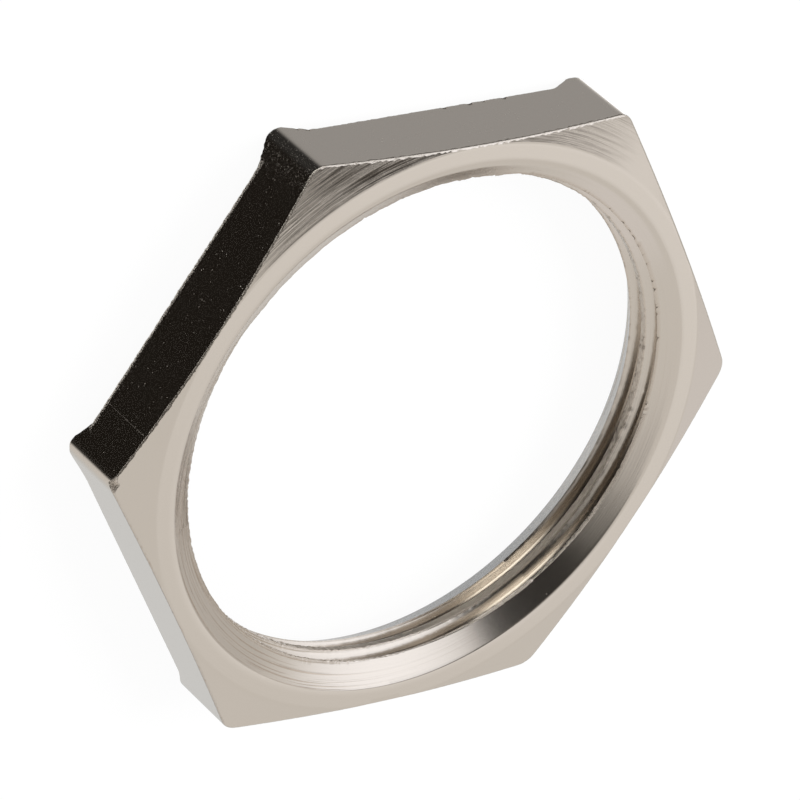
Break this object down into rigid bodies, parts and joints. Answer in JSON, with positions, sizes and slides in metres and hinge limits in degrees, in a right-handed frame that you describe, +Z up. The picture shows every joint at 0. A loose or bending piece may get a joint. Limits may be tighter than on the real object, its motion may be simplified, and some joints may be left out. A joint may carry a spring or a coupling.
{
  "type": "cable gland locknut",
  "caption": "Thin hexagon locknut with a fine internal thread, a chamfered front and raised corners on its back, for a metal cable gland.",
  "frame": {"origin": "centre of the bottom of the box, on the bore's axis and in the plane of the six raised corner tips that the nut lies on", "axes": "+Z up along the bore's axis, from the raised back corners to the chamfered front; corners on +X and -X, flats square to +Y and -Y"},
  "size_m": [0.0412, 0.036, 0.0053],
  "materials": {
    "nickel_plated_brass": "turned and nickel plated, semi-gloss, with fine turning marks"
  },
  "bodies": {
    "root": {"locknut": "nickel_plated_brass"}
  },
  "joints": []
}
